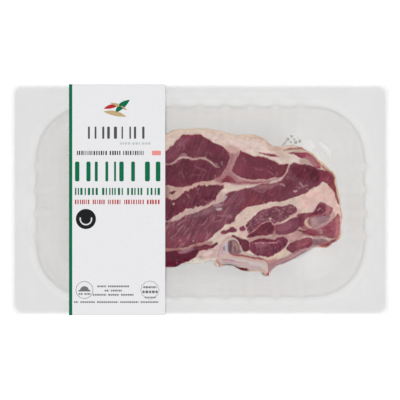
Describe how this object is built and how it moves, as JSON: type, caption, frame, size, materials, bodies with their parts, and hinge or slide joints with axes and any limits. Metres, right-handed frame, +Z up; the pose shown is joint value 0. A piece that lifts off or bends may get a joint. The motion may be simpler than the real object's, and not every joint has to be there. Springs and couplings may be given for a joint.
{
  "type": "packed lamb shoulder chop",
  "caption": "Raw lamb shoulder chop with bone, vacuum skin packed in a clear ribbed plastic tray with a flange, clear film and a white paper label band across one end.",
  "frame": {"origin": "centre of the pack's outline at the height of the tray's base", "axes": "+X along the pack's length, away from the label; +Y across the pack, towards the label print's top; +Z up"},
  "size_m": [0.26, 0.1596, 0.0293],
  "materials": {
    "tray_plastic": "clear, slightly milky, glossy",
    "raw_meat": "moist, dark red lean with cream fat",
    "bone": "moist, pinkish cream cut bone",
    "clear_film": "clear, glossy",
    "label_paper": "smooth printed paper"
  },
  "bodies": {
    "root": {"tray": "tray_plastic", "chop": "raw_meat", "rib_bone": "bone", "skin_film": "clear_film", "label": "label_paper"}
  },
  "joints": []
}
